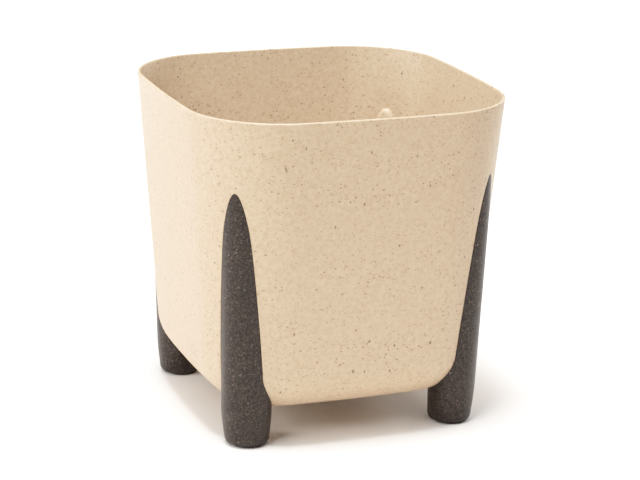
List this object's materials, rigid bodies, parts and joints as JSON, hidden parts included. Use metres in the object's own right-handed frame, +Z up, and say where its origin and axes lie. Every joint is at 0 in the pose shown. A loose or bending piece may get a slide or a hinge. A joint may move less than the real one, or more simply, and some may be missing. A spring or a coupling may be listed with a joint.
{
  "type": "planter",
  "caption": "Square moulded planter with large rounded corners and slightly bowed sides, standing on tapered legs that run up its corners in shallow sockets.",
  "frame": {"origin": "on the floor under the middle of the pot, level with the undersides of the feet", "axes": "+Z up along the pot's axis, X and Y square to the pot's sides, with the front side facing -Y"},
  "size_m": [0.2948, 0.2948, 0.297],
  "materials": {
    "pot": "matte cream wood-fibre composite with scattered dark brown flecks",
    "leg": "matte dark brown-grey wood-fibre composite with fine pale flecks"
  },
  "bodies": {
    "root": {"pot": "pot", "leg_front_left": "leg", "leg_front_right": "leg", "leg_back_left": "leg", "leg_back_right": "leg"}
  },
  "joints": []
}
